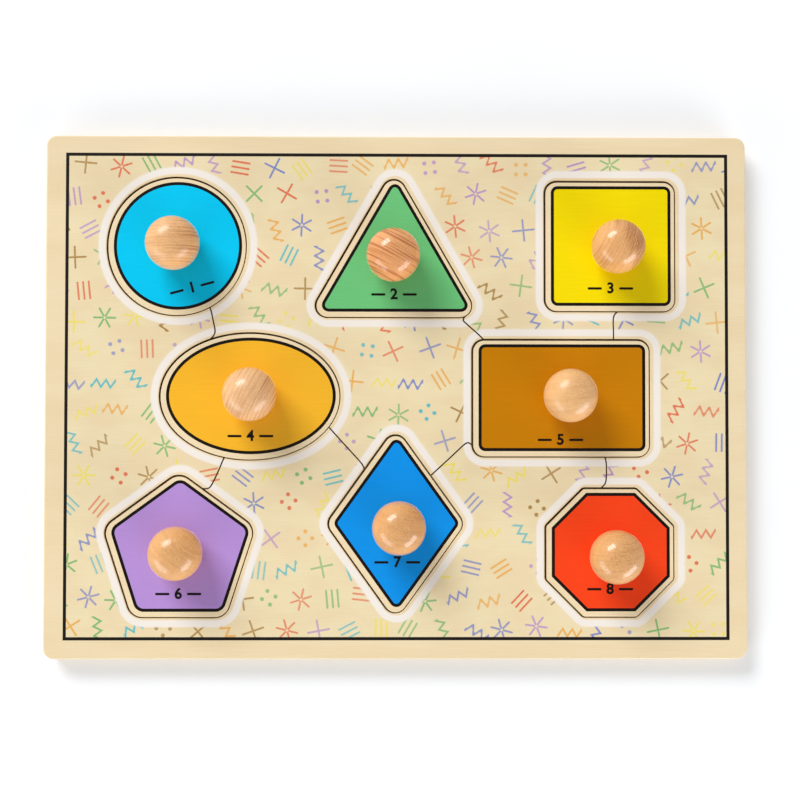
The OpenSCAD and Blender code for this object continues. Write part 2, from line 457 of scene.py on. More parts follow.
def make_ply_edge(name, scorch_and_shade):
    finish, (x, y, z), shader = new_finish(name)
    layers = (z + (noise(x / WAVE_L, y / WAVE_L) - 0.5) * PLY_WAVE) / PLY_T
    across = (layers.floor() / 2).maths("FRACT").above(0.25, 0.01)
    glue = (layers.maths("FRACT") - 0.5).away().above(0.465, 0.03)
    pores = noise(x / PORE_W, y / PORE_W, z / PORE_H, detail=1).below(0.40, 0.1) * across
    streaks = noise(x / STREAK_L, y / STREAK_L, z / STREAK_H)
    # Painted shade and scorch: the cut walls are browned in soft patches, which stand both for the
    # blade's scorch and for the shade down in the narrow cuts.
    scorch_and_shade_patches = noise(x / SCORCH_SHADE_L, y / SCORCH_SHADE_L, z / SCORCH_SHADE_H) * 0.5 + 0.75
    colour = paint(LAYER_ALONG, LAYER_ACROSS, across * 0.75 + streaks * 0.25)
    colour = paint(colour, LAYER_PORE, pores * 0.5)
    colour = paint(colour, GLUE, glue * 0.55)
    colour = paint(colour, SCORCH_AND_SHADE, scorch_and_shade_patches * scorch_and_shade)
    return finish_with(finish, shader, colour, 0.7, streaks - pores, depth=0.06)


sanded_edge = make_ply_edge("sanded_ply_edge", 0)
sawn_edge = make_ply_edge("sawn_ply_edge", SAW_SCORCH_AND_SHADE)

# %% [markdown]
# All the shapes but the circle and the oval have rounded corners. A rounded figure is a smaller
# sharp one, its core, with the corner radius added all round. The radii repeat the real sizes of
# the construction. A regular figure's core follows from its width and its number of sides.

# %% Corners of the shapes
SHAPE_CORNER_R = 6.5 * MM
OTHER_CORNER_R = {"pentagon": 8.6 * MM, "octagon": 2.6 * MM}
SIDES = {"triangle": 3, "pentagon": 5, "octagon": 8}


def corner_r(shape):
    return OTHER_CORNER_R.get(shape, SHAPE_CORNER_R)


def polygon_reach(sides):
    """How wide a regular figure is, for a radius of one."""
    turn = 0 if sides % 2 else 0.5
    return max(abs(math.sin((i + turn) * 2 * math.pi / sides)) for i in range(sides))


def polygon_core(shape):
    """The radius of a regular figure's rounded corners' centres, and how high its middle lies."""
    half = centre_and_half(shape)[1]
    core_r = (half.x - corner_r(shape)) / polygon_reach(SIDES[shape])
    lift = half.y - corner_r(shape) - core_r if SIDES[shape] % 2 else 0
    return core_r, lift


print("core radii in mm:", {shape: round(polygon_core(shape)[0] / MM, 1) for shape in SIDES})

# %% [markdown]
# The printed face follows the outlines of the shapes, so its material has to know how far each
# point is from them. Each kind of figure has its own sum for that, in the figure's own two
# directions u and v. The distance is negative inside the figure.

# %% Distance to a figure
def hypotenuse(a, b):
    return (a * a + b * b).maths("SQRT")


def regular_distance(u, v, sides, core_r):
    """Distance to a regular figure, folded into the one side that is nearest."""
    part = 2 * math.pi / sides
    angle = u.maths("ARCTAN2", v)
    if sides % 2:
        angle = angle + part / 2
    folded = (angle + part / 2).maths("FLOORED_MODULO", part) - part / 2
    reach = hypotenuse(u, v)
    side_x = reach * folded.maths("COSINE") - core_r * math.cos(part / 2)
    past_end = ((reach * folded.maths("SINE")).away() - core_r * math.sin(part / 2)).most(0)
    return hypotenuse(side_x.most(0), past_end) + side_x.least(0)


def box_distance(u, v, half):
    u, v = u.away() - half.x, v.away() - half.y
    return hypotenuse(u.most(0), v.most(0)) + u.most(v).least(0)


def diamond_distance(u, v, half):
    """Distance to a diamond's nearest side, between its two end corners."""
    u, v = u.away(), v.away()
    side = Vector((-half.x, half.y))
    along = (((u - half.x) * side.x + v * side.y) / side.length_squared).most(0).least(1)
    gap = hypotenuse(u - half.x - along * side.x, v - along * side.y)
    inside = (u / half.x + v / half.y).below(1, 0.0001)
    return gap * (inside * -2 + 1)


def oval_distance(u, v, half):
    near = hypotenuse(u / half.x, v / half.y)
    steep = hypotenuse(u / half.x ** 2, v / half.y ** 2)
    return near * (near - 1) / steep


print("distances to four kinds of figure")

# %% [markdown]
# The print lies half a millimetre off the saw cuts, as on most such toys. Each shape has a black
# outline, 2.6 millimetres inside its edge. The distance to the nearest of the eight outlines
# then places all the rest of the print.

# %% Distance to the printed outlines
PRINT_SHIFT = Vector((0.5 * MM, 0.5 * MM, 0))
PRINT_MARGIN = 2.6 * MM
ALL_ROUND = Vector((1, 1, 0))


def printed_distance(x, y, shape):
    """Distance outwards from a shape's black outline, in millimetres."""
    centre, half = centre_and_half(shape)
    centre = (centre + PRINT_SHIFT) / MM
    radius = (corner_r(shape) - PRINT_MARGIN) / MM
    core = half / MM - ALL_ROUND * corner_r(shape) / MM
    u, v = x - centre.x, y - centre.y
    if shape == "circle":
        return hypotenuse(u, v) - (half.x - PRINT_MARGIN) / MM
    if shape == "oval":
        return oval_distance(u, v, (half - ALL_ROUND * PRINT_MARGIN) / MM)
    if shape in SIDES:
        core_r, lift = polygon_core(shape)
        return regular_distance(u, v - lift / MM, SIDES[shape], core_r / MM) - radius
    if shape == "diamond":
        return diamond_distance(u, v, core) - radius
    return box_distance(u, v, core) - radius


def nearest_outline(x, y):
    nearest = printed_distance(x, y, SHAPES[0])
    for shape in SHAPES[1:]:
        nearest = nearest.least(printed_distance(x, y, shape))
    return nearest


print("outlines are printed", round(PRINT_MARGIN / MM, 1), "mm inside the shapes' edges")

# %% [markdown]
# The ground is strewn with small crayon marks. A mark is again a distance: to crossed strokes, a
# star, a zigzag, a wave, three dashes or four dots. Where the distance is under half a stroke
# there is crayon. As pieces of mesh the marks would be hundreds of thin slivers. As sums they
# stay part of the print, and keep sharp edges from any distance.

# %% Crayon marks
STROKE_W = 1.1
MARK_REACH = 6.0
LONG_REACH = MARK_REACH * 1.1
SHORT_REACH = MARK_REACH * 0.8
STAR_ARMS = 6
STAR_GAP = 1.2
ZIG_START = 12
ZIG_L = 2.7
ZIG_SLOPE = 1.6
ZIG_SLANT = 0.53
WAVE_PACE = 1.15
WAVE_H = 2
WAVE_SLANT = 0.5
DASH_HALF_GAP = 1.6
DOTS = 4
DOT_R = 0.6
DOTS_REACH = 3.9


def dash(u, v, reach):
    """Distance to a straight stroke along u."""
    return hypotenuse((u.away() - reach).most(0), v)


def spokes(u, v, arms, from_r, to_r):
    """Distance to strokes or dots that stand round a middle."""
    part = 2 * math.pi / arms
    folded = v.maths("ARCTAN2", u).maths("FLOORED_MODULO", part) - part / 2
    reach = hypotenuse(u, v)
    along = reach * folded.maths("COSINE") - (from_r + to_r) / 2
    return dash(along, reach * folded.maths("SINE"), (to_r - from_r) / 2)


def marks(u, v):
    """The six marks. The slants turn an upright gap into one across a slanting stroke."""
    crossed = dash(u.away().most(v.away()), u.away().least(v.away()), MARK_REACH)
    star = spokes(u, v, STAR_ARMS, STAR_GAP, MARK_REACH)
    ramp = (u + ZIG_START).maths("PINGPONG", ZIG_L) - ZIG_L / 2
    zigzag = (v - ramp * ZIG_SLOPE) * ZIG_SLANT
    wave = (v - (u * WAVE_PACE).maths("SINE") * WAVE_H) * WAVE_SLANT
    ends = u.away() - LONG_REACH
    dashes = dash(u, (v.away() - DASH_HALF_GAP).away() - DASH_HALF_GAP, SHORT_REACH)
    dots = spokes(u, v, DOTS, DOTS_REACH, DOTS_REACH) - DOT_R
    return (crossed, star, zigzag.away().most(ends), wave.away().most(ends), dashes, dots)


print("crayon strokes", STROKE_W, "mm wide, in marks", 2 * MARK_REACH, "mm across")

# %% [markdown]
# The marks are scattered by chance. The board is divided into cells, every other row moved along
# by half a cell. Each cell draws lots for one mark, its colour, its turn and its place. White
# noise draws the lots from the cell's own row and column, so they never change.

# %% Scatter of the marks
CELL = 17.6
STRAY = 4.4
WAX_EDGE = 0.55
WAX_GRAIN = 0.35
FULL_TURN = 2 * math.pi


def chances(a, b, c):
    """Three random numbers that stay the same all over a cell."""
    new = a.node("TexWhiteNoise", (point(a, b, c),))
    parts = a.tree.nodes.new("ShaderNodeSeparateXYZ")
    a.tree.links.new(new.outputs["Color"], parts.inputs[0])
    return [Field(a.tree, socket) for socket in parts.outputs]


def drawn_one(kind, drawn):
    """The one of the marks that the lot falls on."""
    chosen = None
    for index, mark in enumerate(drawn):
        share = (kind * len(drawn)).floor().maths("COMPARE", index, 0.5) * mark
        chosen = chosen + share if chosen else share
    return chosen


def crayon_marks(x, y):
    """How much crayon lies at a point, and the lot that chooses its colour."""
    row = (y / CELL).floor()
    shifted = x + (row / 2).maths("FRACT") * CELL
    column = (shifted / CELL).floor()
    kind, place_u, place_v = chances(column, row, 1)
    turn, colour, strength = chances(column, row, 2)
    u = shifted - (column + 0.5) * CELL - (place_u - 0.5) * STRAY
    v = y - (row + 0.5) * CELL - (place_v - 0.5) * STRAY
    sine, cosine = (turn * FULL_TURN).maths("SINE"), (turn * FULL_TURN).maths("COSINE")
    distance = drawn_one(kind, marks(u * cosine + v * sine, v * cosine - u * sine))
    rough = noise(x / WAX_EDGE, y / WAX_EDGE, 7) - 0.5
    stroke = (distance + rough * 0.5).below(STROKE_W / 2, 0.3)
    grain = noise(x / WAX_GRAIN, y / WAX_GRAIN, 11, detail=1).above(0.40, 0.3)
    return stroke * (grain * 0.45 + 0.55) * (strength * 0.25 + 0.75), colour


print("one mark in each cell of", CELL, "mm")

# %% [markdown]
# A box of eight crayons draws them all. A colour ramp with hard steps deals the colours out: the
# lot is a number from zero to one, and each crayon has an equal share of it.

# %% Crayons
CRAYONS = (
    rgb(183, 142, 202), rgb(242, 225, 94), rgb(62, 188, 198), rgb(226, 98, 60),
    rgb(112, 184, 108), rgb(110, 128, 200), rgb(236, 172, 70), rgb(166, 122, 46),
)


def crayon_colour(lot):
    """One of the crayons, chosen by a random number."""
    ramp = lot.node("ValToRGB", (lot,))
    ramp.color_ramp.interpolation = "CONSTANT"
    stops = ramp.color_ramp.elements
    while len(stops) < len(CRAYONS):
        stops.new(0.5)
    for index, crayon in enumerate(CRAYONS):
        stops[index].position = index / len(CRAYONS)
        stops[index].color = crayon
    return ramp.outputs[0]


print(len(CRAYONS), "crayons")

# %% [markdown]
# The printed face joins these. Round each black outline the wood is bare, for the saw to run in.
# Then comes a soft white halo, and beyond the halos a warm ground with the marks. A black line
# frames the ground, and outside it the wood is bare again. The ground has faint clouds, as thin
# ink has on wood, and the fibres show through all of it.

# %% Printed face of the tray
SAWN_BAND = 4.7
HALO_END = 8.7
FRAME_MIDDLE = Vector((0.5, 0.4))
FRAME_HALF = Vector((188.25, 137.75))
FRAME_W = 1.85
CLOUD_L = 26
CLOUD_W = 15
INK = rgb(9, 3, 0)
GROUND_PALE = rgb(244, 229, 188)
GROUND_WARM = rgb(241, 221, 180)
GROUND_FIBRE = rgb(214, 186, 138)
HALO = rgb(247, 240, 231)


def printed_ground(x, y, z, distance):
    """The warm ground with its clouds, fibres, crayon marks and halos."""
    clouds = noise(x / CLOUD_L, y / CLOUD_W, 5)
    ground = paint(GROUND_PALE, GROUND_WARM, clouds.above(0.5, 0.4))
    ground = paint(ground, GROUND_FIBRE, fibres(x, y, z).above(0.42, 0.3) * 0.12)
    crayon, lot = crayon_marks(x, y)
    ground = paint(ground, crayon_colour(lot), crayon)
    return paint(ground, HALO, distance.below(HALO_END, 1.5))


def make_tray_print():
    finish, (x, y, z), shader = new_finish("tray_print")
    distance = nearest_outline(x, y)
    ground = printed_ground(x, y, z, distance)
    past_side = (x - FRAME_MIDDLE.x).away() - FRAME_HALF.x
    past_frame = past_side.most((y - FRAME_MIDDLE.y).away() - FRAME_HALF.y)
    inked = past_frame.below(0, 0.1) * distance.above(SAWN_BAND, 1.1)
    colour = paint(bare_wood(x, y, z), ground, inked)
    colour = paint(colour, INK, past_frame.away().below(FRAME_W / 2, 0.12))
    return finish_with(finish, shader, colour, 0.5, fibres(x, y, z), depth=0.015, gloss=0.15)


tray_print = make_tray_print()

# %% [markdown]
# The shapes are printed in flat bright colours under a satin varnish, with a black outline. The
# ink is thin, so the fibres show in it as slightly darker streaks, and the varnish has a soft
# orange-peel relief. The black ink is made the same way, nearly matt.

# %% Inks of the shapes
SHAPE_INKS = {
    "circle": rgb(0, 208, 255), "triangle": rgb(113, 204, 129), "square": rgb(254, 230, 0),
    "oval": rgb(255, 191, 46), "rectangle": rgb(205, 130, 0), "pentagon": rgb(188, 150, 224),
    "diamond": rgb(14, 151, 243), "octagon": rgb(254, 72, 27),
}
SHAPE_SLOTS = {
    "circle": "sky_blue_print", "triangle": "green_print", "square": "yellow_print",
    "oval": "orange_print", "rectangle": "brown_print", "pentagon": "purple_print",
    "diamond": "blue_print", "octagon": "red_print",
}
SATIN = 0.30
NEARLY_MATT = 0.42
THIN_L = 30
THIN_W = 6
PEEL_W = 1.4
SHINE_W = 9


def make_ink(name, colour, roughness):
    """A thin layer of printing ink on ply, varnished."""
    finish, (x, y, z), shader = new_finish(name)
    thin = noise(x / THIN_L, y / THIN_W, 2, detail=3).above(0.62, 0.3)
    inked = paint(colour, toned(colour, 0.80), fibres(x, y, z).above(0.40, 0.24) * 0.30)
    inked = paint(inked, toned(colour, 0.95, 0.004), thin * 0.35)
    peel = noise(x / PEEL_W, y / PEEL_W, z / PEEL_W) + fibres(x, y, z) * 0.7
    shine = noise(x / SHINE_W, y / SHINE_W, 4) * 0.12 + roughness
    return finish_with(finish, shader, inked, shine, peel, depth=0.012, gloss=0.1)


shape_inks = {shape: make_ink(SHAPE_SLOTS[shape], SHAPE_INKS[shape], SATIN) for shape in SHAPES}
black_ink = make_ink("black_ink", INK, NEARLY_MATT)

# %% [markdown]
# The backing is a sheet with rounded corners and a sanded lower edge. A cube is set to the
# sheet's size, its upright edges are bevelled to the corner radius, and then the rim that will
# be handled gets a small round. The tray's sheet will be made the same way.

# %% Backing board
BOARD_CORNER_R = 6 * MM
BOARD_EASE = 1 * MM


def add_sheet(node, eased_face):
    """Adds a sheet with the corners of the board, its rim eased at one face, in edit mode."""
    low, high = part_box(node)
    fresh()
    bpy.ops.mesh.primitive_cube_add(size=1, location=(low + high) / 2)
    sheet = bpy.context.object
    sheet.scale = high - low
    bpy.ops.object.transform_apply(location=True, rotation=False, scale=True)
    bpy.ops.object.mode_set(mode="EDIT")
    pick("EDGE", lambda edge: height_of(edge) > (high - low).z / 2)
    bpy.ops.mesh.bevel(offset=BOARD_CORNER_R, segments=12, affect="EDGES")
    pick("EDGE", lambda edge: is_rim(edge) and any(eased_face(face) for face in edge.link_faces))
    bpy.ops.mesh.bevel(offset=BOARD_EASE, segments=4, affect="EDGES")
    return sheet


def dress_sheet(top):
    """In edit mode, gives a sheet a bare underside, sanded edges and the given top."""
    bpy.ops.mesh.select_all(action="SELECT")
    give(bare_ply)
    pick("FACE", lambda face: face.normal.z > 0.5)
    give(top)
    pick("FACE", faces_sideways)
    give(sanded_edge)


backing = add_sheet("backing_board", faces_down)
dress_sheet(bare_ply)
finish_piece(backing, "glued_backing", "tray", "backing_ply", "backing_board")

# %% [markdown]
# The saw makes each opening a little larger than its shape, so the outline of a shape is needed
# at several sizes. A straight-sided one starts as its sharp figure, which is larger than the
# rounded one. How much larger depends on the angle of its corners, worked out here.

# %% Sharp figures
def corner_angles(shape):
    """Half of each corner's angle, with the test that finds such corners."""
    half = centre_and_half(shape)[1]
    if shape in SIDES:
        return [(math.pi / 2 - math.pi / SIDES[shape], lambda corner: True)]
    if shape == "diamond":
        steep = math.atan2(half.y - corner_r(shape), half.x - corner_r(shape))
        return [
            (steep, lambda corner: abs(corner.co.x) > half.x),
            (math.pi / 2 - steep, lambda corner: abs(corner.co.y) > half.y),
        ]
    return [(math.pi / 4, lambda corner: True)]


def sharp_size(shape, radius):
    """How far a shape's sharp corners reach in x and y, for that corner radius."""
    half = centre_and_half(shape)[1]
    core = Vector((half.x - corner_r(shape), half.y - corner_r(shape)))
    if shape in SIDES:
        sharp_r = polygon_core(shape)[0] + radius / math.cos(math.pi / SIDES[shape])
        return sharp_r, sharp_r
    if shape == "diamond":
        return core.x + radius * core.length / core.y, core.y + radius * core.length / core.x
    if shape in ("circle", "oval"):
        return half.x + radius - corner_r(shape), half.y + radius - corner_r(shape)
    return core.x + radius, core.y + radius


for shape in SHAPES:
    print(shape, "reaches", [round(side / MM, 1) for side in sharp_size(shape, corner_r(shape))])

# %% [markdown]
# An outline is one flat face. A round shape is a many-sided circle, scaled to its width and
# depth. A straight-sided one has its sharp corners bevelled, and the octagon is first turned to
# lie on a side. The bevel's profile value is worked out for each corner angle, because only
# then is the bevel a true arc.

# %% Outlines of the shapes
ROUND_STEPS = 160
CORNER_STEPS = 14
CIRCLE_SIDES = {"circle": ROUND_STEPS, "oval": ROUND_STEPS, "diamond": 4, **SIDES}


def arc_profile(half_angle):
    """The bevel profile that makes an arc of a corner with that half angle."""
    return (1 - 1 / (2 * (1 + math.sin(half_angle)))) ** 2


def round_corners(shape, radius):
    """In edit mode, turns the sharp corners of a flat face into arcs."""
    for half_angle, test in corner_angles(shape):
        pick("VERT", test)
        bpy.ops.mesh.bevel(
            affect="VERTICES", offset_type="ABSOLUTE", offset=radius / math.tan(half_angle),
            segments=CORNER_STEPS, profile=arc_profile(half_angle))


def add_outline(shape, grow, z):
    """Adds a flat face with a shape's outline, grown all round, and stays in edit mode."""
    centre = centre_and_half(shape)[0]
    radius = corner_r(shape) + grow
    lift = polygon_core(shape)[1] if shape in SIDES else 0
    turn = math.pi / SIDES[shape] if shape == "octagon" else 0
    fresh()
    if shape in CIRCLE_SIDES:
        bpy.ops.mesh.primitive_circle_add(
            vertices=CIRCLE_SIDES[shape], radius=1, fill_type="NGON",
            location=(centre.x, centre.y + lift, z), rotation=(0, 0, turn))
    else:
        bpy.ops.mesh.primitive_plane_add(size=2, location=(centre.x, centre.y, z))
    bpy.context.object.scale = (*sharp_size(shape, radius), 1)
    bpy.ops.object.transform_apply(location=False, rotation=True, scale=True)
    bpy.ops.object.mode_set(mode="EDIT")
    if shape not in ("circle", "oval"):
        round_corners(shape, radius)
    return bpy.context.object


print("a square corner has the profile", round(arc_profile(math.pi / 4), 3))

# %% [markdown]
# Each opening is cut by a block that is drawn down from above the face: a straight overrun, then
# a small inward step that leaves an eased edge on the wood, then straight through. The loose
# shapes have settled a hair towards the lower right, so the cuts look wider at their upper left.

# %% Openings
KERF = 0.8 * MM
SAW_EASE = 0.25 * MM
OVERRUN = 1 * MM
SETTLED = Vector((-0.22 * MM, 0.22 * MM, 0))


def opening_cutter(shape):
    """A block that cuts one opening and eases its upper edge."""
    cutter = add_outline(shape, KERF + SAW_EASE, FACE_Z + OVERRUN)
    bpy.ops.mesh.select_all(action="SELECT")
    bpy.ops.transform.translate(value=SETTLED)
    pull(-OVERRUN)
    pick("FACE", faces_down)
    bpy.ops.mesh.inset(thickness=SAW_EASE, depth=SAW_EASE)
    extrude(-PANEL_T - OVERRUN)
    return cutter


tray = add_sheet("tray_panel", faces_up)
for shape in SHAPES:
    cut_away(tray, opening_cutter(shape))
print("the tray has", len(SHAPES), "openings and", len(tray.data.polygons), "faces")

# %% [markdown]
# Seven thin cuts join the openings, because the saw blade went from one shape to the next without
# leaving the sheet. Each starts and ends at a share of a shape's half width and depth. Its bends
# are shares of the way between these two ends, first along it and then to its left, so the cuts
# stay in place when a shape changes its size.

# %% Saw lines
SAW_LINES = (
    ("circle", (0.47, -0.866), "oval", (-0.497, 0.848),
     ((0.13, 0.07), (0.38, 0.14), (0.66, 0.23), (0.79, 0.19))),
    ("oval", (-0.275, -0.943), "pentagon", (0.26, 0.835),
     ((0.11, 0.02), (0.26, 0.07), (0.72, 0.2), (0.87, 0.2))),
    ("oval", (0.87, -0.464), "diamond", (-0.458, 0.581),
     ((0.36, 0.02), (0.77, 0.05), (0.89, 0.05))),
    ("diamond", (0.506, 0.535), "rectangle", (-0.983, -0.872),
     ((0.66, 0.13), (0.93, 0.19), (0.99, 0.14))),
    ("triangle", (0.924, -0.972), "rectangle", (-0.874, 0.977),
     ((0.07, -0.16), (0.21, -0.13), (0.88, 0.03))),
    ("square", (0.141, -0.988), "rectangle", (0.597, 0.977),
     ((0.17, -0.15), (0.45, -0.11), (0.6, -0.07))),
    ("rectangle", (0.49, -0.978), "octagon", (-0.193, 0.982),
     ((0.19, 0.1), (0.71, 0.2), (0.86, 0.14))),
)
CORNER_CUTS = (0.25, 0.75)


def on_shape(shape, share):
    centre, half = centre_and_half(shape)
    return Vector((centre.x + share[0] * half.x, centre.y + share[1] * half.y, 0))


def cut_corners(path):
    """Smooths a path: each bend becomes two gentler ones."""
    steps = [a.lerp(b, share) for a, b in zip(path, path[1:]) for share in CORNER_CUTS]
    return [path[0], *steps, path[-1]]


def saw_path(start_shape, start_share, end_shape, end_share, bends):
    start, end = on_shape(start_shape, start_share), on_shape(end_shape, end_share)
    way = end - start
    left = Vector((-way.y, way.x, 0))
    places = [start + along * way + aside * left for along, aside in bends]
    return cut_corners(cut_corners([start, *places, end]))


saw_paths = [saw_path(*line) for line in SAW_LINES]
for path in saw_paths:
    print("saw line of", round((path[-1] - path[0]).length / MM, 1), "mm from end to end")

# %% [markdown]
# The blade's cut is as wide everywhere. So each cutter is an upright ribbon along its path, made as
# a curve, and thickened evenly to both sides. With all openings cut, the tray gets its print and its
# sanded edges. The walls that the blade cut are the upright faces in from the board's own edge, and
# they are browned, as scorch and as painted shade in the narrow cuts.

# %% Tray
def saw_line_cutter(path):
    """An upright ribbon along a path, thickened to the width of the saw cut."""
    ribbon = bpy.data.curves.new("saw_line", "CURVE")
    ribbon.extrude = PANEL_T / 2 + OVERRUN
    spline = ribbon.splines.new("POLY")
    spline.points.add(len(path) - 1)
    for spot, place in zip(spline.points, path):
        spot.co = (*place, 1)
    cutter = bpy.data.objects.new("saw_line", ribbon)
    bpy.context.collection.objects.link(cutter)
    only(cutter)
    cutter.location.z = (SHEET_Z + FACE_Z) / 2
    bpy.ops.object.convert(target="MESH")
    cutter = bpy.context.object
    apply_modifier(cutter, "SOLIDIFY", thickness=KERF, offset=0, use_even_offset=True)
    return cutter


def in_from_the_edge(face):
    """A wall of an opening or a saw cut, and not the outside of the board."""
    middle = face.calc_center_median()
    inner_x, inner_y = board_high.x - BOARD_CORNER_R, board_high.y - BOARD_CORNER_R
    return abs(middle.x) < inner_x and abs(middle.y) < inner_y


for path in saw_paths:
    cut_away(tray, saw_line_cutter(path))
only(tray)
bpy.ops.object.mode_set(mode="EDIT")
dress_sheet(tray_print)
pick("FACE", lambda face: faces_sideways(face) and in_from_the_edge(face))
give(sawn_edge)
finish_piece(tray, "sawn_tray", "tray", "tray_print", "tray_panel")

# %% [markdown]
# A countersunk hole takes the knob's screw from below. Its cutter is a short disc for the rim of
# the screw's head, drawn in by as much as it rises, at 45 degrees, and then straight up.

# %% Screw holes
SHANK_R = 2.05 * MM
HEAD_RIM_T = 0.4 * MM
HEAD_PLAY = 0.05 * MM
HOLE_STEPS = 48


def screw_cutter(shape):
    """The countersunk hole of a knob's screw, drawn up from under the sheet."""
    low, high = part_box(shape + "_screw")
    head_r = (high - low).x / 2 + HEAD_PLAY
    middle = (low + high) / 2
    fresh()
    bpy.ops.mesh.primitive_circle_add(
        vertices=HOLE_STEPS, radius=head_r, fill_type="NGON",
        location=(middle.x, middle.y, SHEET_Z - OVERRUN))
    cutter = bpy.context.object
    bpy.ops.object.mode_set(mode="EDIT")
    pull(low.z + HEAD_RIM_T - SHEET_Z + OVERRUN)
    pick("FACE", faces_up)
    bpy.ops.mesh.inset(thickness=head_r - SHANK_R, depth=head_r - SHANK_R)
    extrude(PANEL_T)
    return cutter


print("screw holes", round(2 * SHANK_R / MM, 1), "mm wide")

# %% [markdown]
# A plate is its outline pulled up to the sheet's thickness, with both rims eased by the sander.
# Its printed face is made by hand moves too. The top face is inset to leave the bare rim, moved
# by the print's shift, given the black ink, and inset again for the coloured field. So the edge
# of the ink stays sharp from any distance.

# %% Plates
SHAPE_EASE = 0.35 * MM
INK_W = 1.8 * MM
SAME_PLACE = 0.05 * MM


def saw_plate(shape, body):
    plate = add_outline(shape, 0, SHEET_Z)
    pull(PANEL_T)
    give(bare_ply)
    pick("FACE", faces_sideways)
    give(sawn_edge)
    pick("EDGE", is_rim)
    bpy.ops.mesh.bevel(offset=SHAPE_EASE, segments=3, affect="EDGES")
    pick("FACE", faces_up)
    bpy.ops.mesh.inset(thickness=PRINT_MARGIN - SHAPE_EASE)
    bpy.ops.transform.translate(value=PRINT_SHIFT)
    bpy.ops.mesh.remove_doubles(threshold=SAME_PLACE)
    bpy.ops.mesh.select_mode(type="FACE")
    give(black_ink)
    bpy.ops.mesh.inset(thickness=INK_W)
    give(shape_inks[shape])
    cut_away(plate, screw_cutter(shape))
    finish_piece(plate, shape + "_printed_plate", body, SHAPE_SLOTS[shape], shape + "_plate")


for shape in SHAPES:
    saw_plate(shape, shape + "_piece")

# %% [markdown]
# The knobs are turned from one hardwood rod, a ball on a short hollow neck. One knob is made at
# the origin and copied. It starts as a sphere, cut off level where the ball runs into the neck.
# The open ring is then extruded down the hollow in steps, each step pulled in or out to follow
# the arc, to the foot. A profile could be spun round the axis instead, but a sphere has its
# poles closed already.

# %% Ball and neck of a knob
KNOB_NECK_R = 2.9 * MM
BALL_STEPS = 96
BALL_RINGS = 64
NECK_STEPS = 10


def cut_ball(ball_r, ball_z, cut_z):
    """Adds a sphere that is cut off level below, with its open ring selected in edit mode."""
    fresh()
    bpy.ops.mesh.primitive_uv_sphere_add(
        segments=BALL_STEPS, ring_count=BALL_RINGS, radius=ball_r, location=(0, 0, ball_z))
    bpy.ops.object.transform_apply(location=True)
    bpy.ops.object.mode_set(mode="EDIT")
    bpy.ops.mesh.select_all(action="SELECT")
    bpy.ops.mesh.bisect(plane_co=(0, 0, cut_z), plane_no=(0, 0, 1), clear_inner=True)
    pick("EDGE", lambda edge: edge.is_boundary)
    return bpy.context.object


def ring_step(drop, spread):
    """In edit mode, extrudes the selected ring down and scales it about the axis."""
    extrude(-drop)
    bpy.ops.transform.resize(value=(spread, spread, 1), center_override=(0, 0, 0))


def hollow_neck(neck_x, neck_z, radius, height):
    """In edit mode, leads the ring round the hollow and down to the foot."""
    start = math.atan2(height - neck_z, radius - neck_x)
    for step in range(1, NECK_STEPS + 1):
        angle = start + (math.pi - start) * step / NECK_STEPS
        next_radius = neck_x + KNOB_NECK_R * math.cos(angle)
        next_height = neck_z + KNOB_NECK_R * math.sin(angle)
        ring_step(height - next_height, next_radius / radius)
        radius, height = next_radius, next_height
    ring_step(height, 1)


print("the neck's hollow has a radius of", round(KNOB_NECK_R / MM, 1), "mm")

# %% [markdown]
# The two arcs of the knob's profile, ball and hollow, touch where they meet, so the cut lies on
# the line between their two centres. Last, the foot is closed and gets the hole for its screw.

# %% Knob
KNOB_FOOT_R = 10 * MM
KNOB_RIM_T = 0.6 * MM
PILOT_L = 15.8 * MM


def turn_knob():
    low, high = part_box("circle_knob")
    ball_r = (high - low).x / 2
    ball_z = (high - low).z - ball_r
    neck_x = KNOB_FOOT_R + KNOB_NECK_R
    share = ball_r / (ball_r + KNOB_NECK_R)
    cut_z = ball_z + (KNOB_RIM_T - ball_z) * share
    knob = cut_ball(ball_r, ball_z, cut_z)
    hollow_neck(neck_x, KNOB_RIM_T, neck_x * share, cut_z)
    bpy.ops.mesh.edge_face_add()
    bpy.ops.mesh.inset(thickness=KNOB_FOOT_R - SHANK_R)
    extrude(PILOT_L)
    turn_faces_out()
    fresh()
    return knob


knob_pattern = turn_knob()
print("knob", [round(side / MM, 2) for side in knob_pattern.dimensions])
